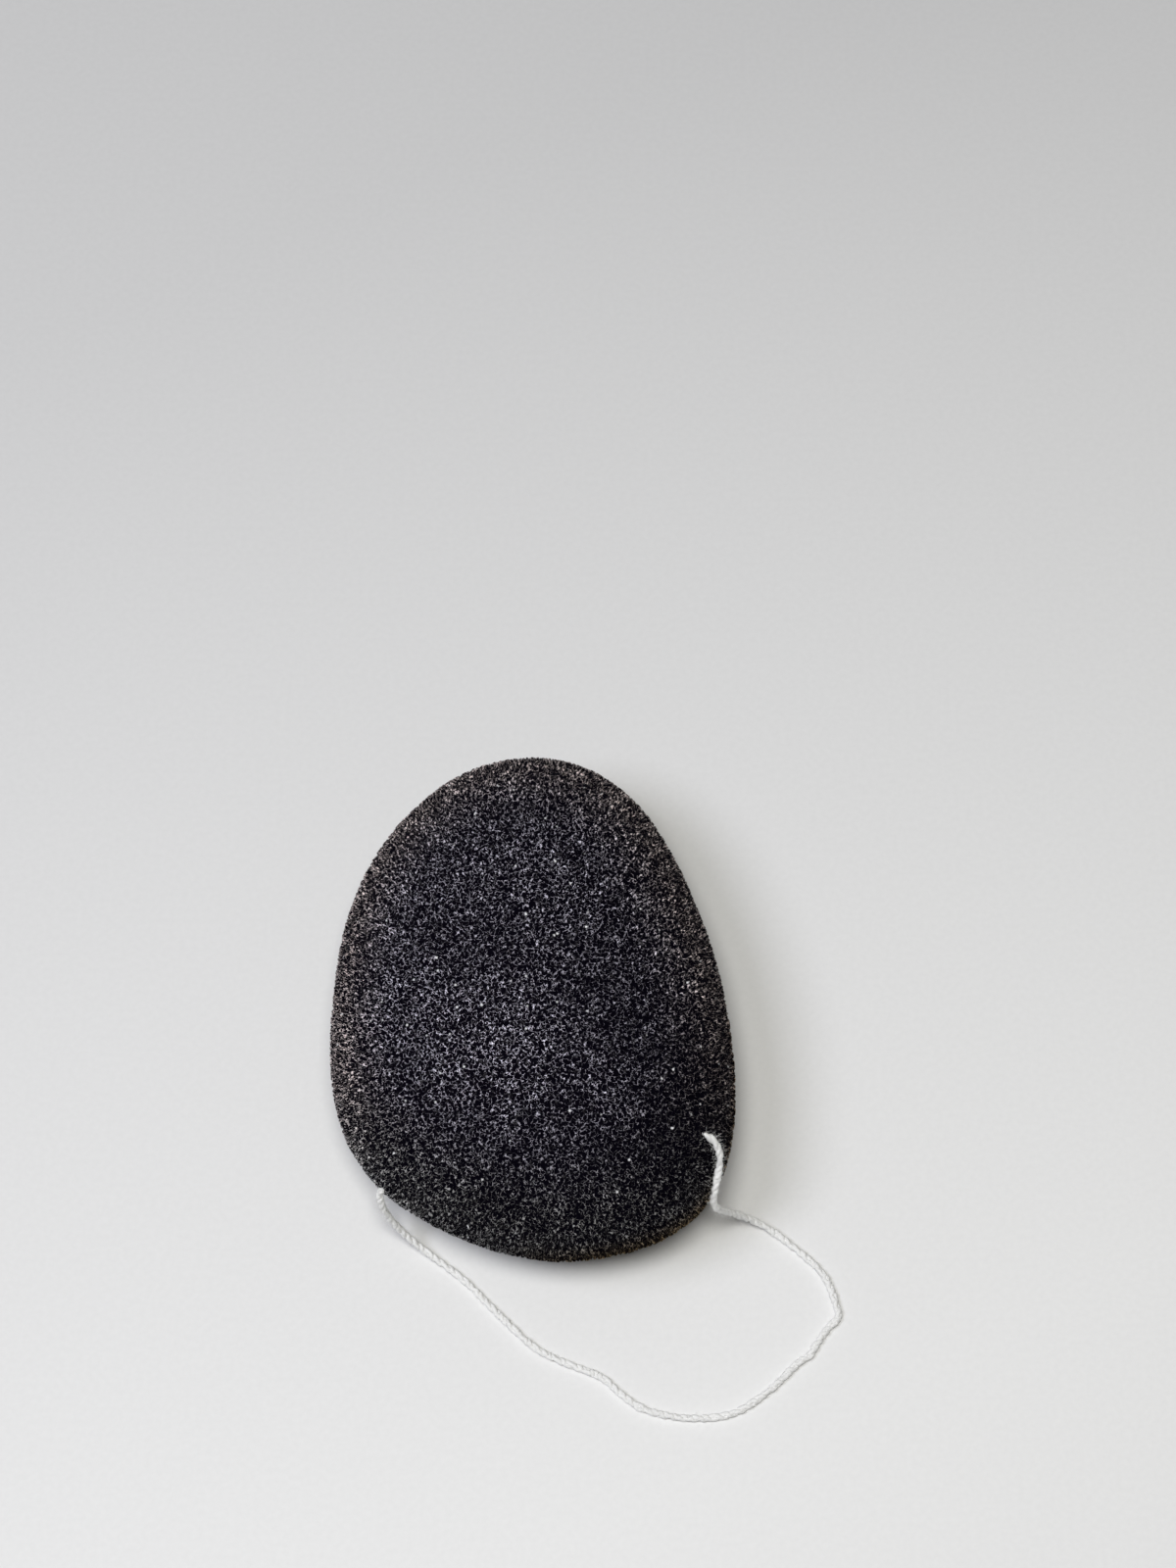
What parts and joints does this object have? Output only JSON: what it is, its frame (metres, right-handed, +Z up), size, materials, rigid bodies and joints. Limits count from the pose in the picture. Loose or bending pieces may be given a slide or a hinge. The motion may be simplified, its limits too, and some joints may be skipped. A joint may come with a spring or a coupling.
{
  "type": "konjac face sponge",
  "caption": "Dry, dark konjac sponge for washing the face: an egg-shaped block of fine foam with a flat underside and a thin cotton hanging loop.",
  "frame": {"origin": "middle of the foam's box, on the table under its flat foot", "axes": "+Z up from the table, +X to the right, +Y from the broad end with the string towards the narrow end"},
  "size_m": [0.0942, 0.1222, 0.0431],
  "materials": {
    "foam": "matte",
    "cotton": "matte"
  },
  "bodies": {
    "foam": {"sponge_body": "foam"},
    "string": {"string_loop": "cotton", "string_inside_left": "cotton", "string_inside_right": "cotton", "knot_end_left": "cotton", "knot_end_right": "cotton"}
  },
  "joints": [
    {"name": "string_swing", "type": "hinge", "parent": "foam", "child": "string", "pos_m": [0.00195, -0.0317, 0.0247], "axis": [-0.9787, -0.1153, -0.1696], "range_deg": [0, 160]}
  ]
}
